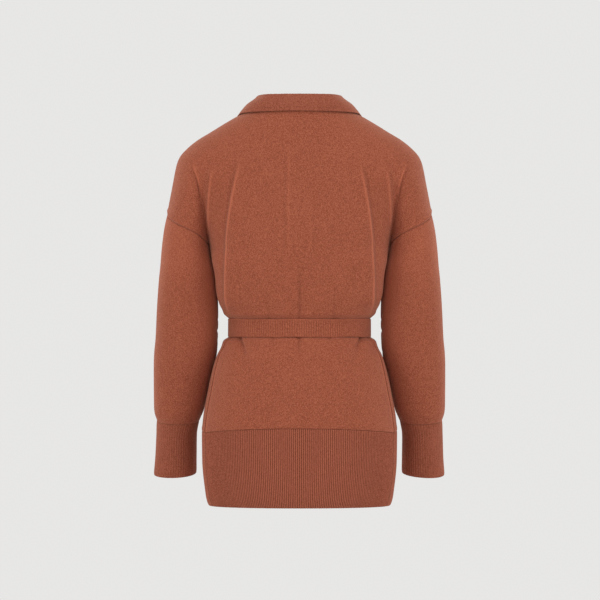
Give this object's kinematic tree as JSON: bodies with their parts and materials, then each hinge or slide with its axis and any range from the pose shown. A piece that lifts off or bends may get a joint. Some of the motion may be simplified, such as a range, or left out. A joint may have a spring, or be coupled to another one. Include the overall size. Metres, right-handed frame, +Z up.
{
  "type": "knit polo shirt with a tied belt",
  "caption": "Long-sleeved knit polo shirt in fine jersey, filled out and hollow, with drop shoulders, a folded collar, deep ribbed hem and cuffs and its own tied belt.",
  "frame": {"origin": "middle of the neck, level with the foot of the collar, where the wearer's neck and shoulders hold the garment up", "axes": "+Z up, +Y towards the garment's back, +X towards its left sleeve"},
  "size_m": [0.514, 0.2483, 0.7183],
  "materials": {
    "jersey": "matte fine wool jersey, faintly mottled",
    "rib": "matte ribbed wool knit",
    "button": "satin"
  },
  "bodies": {
    "root": {"back_panel": "jersey", "front_panel": "jersey", "sleeve_left": "jersey", "sleeve_right": "jersey", "cuff_left": "rib", "cuff_right": "rib", "hem_rib_back": "rib", "hem_rib_front": "rib", "collar": "rib", "placket_over": "rib", "placket_under": "rib", "button_1": "button", "button_2": "button", "button_3": "button", "belt_loop": "jersey", "belt_knot": "jersey", "belt_tail_left": "jersey", "belt_tail_right": "jersey"}
  },
  "joints": []
}
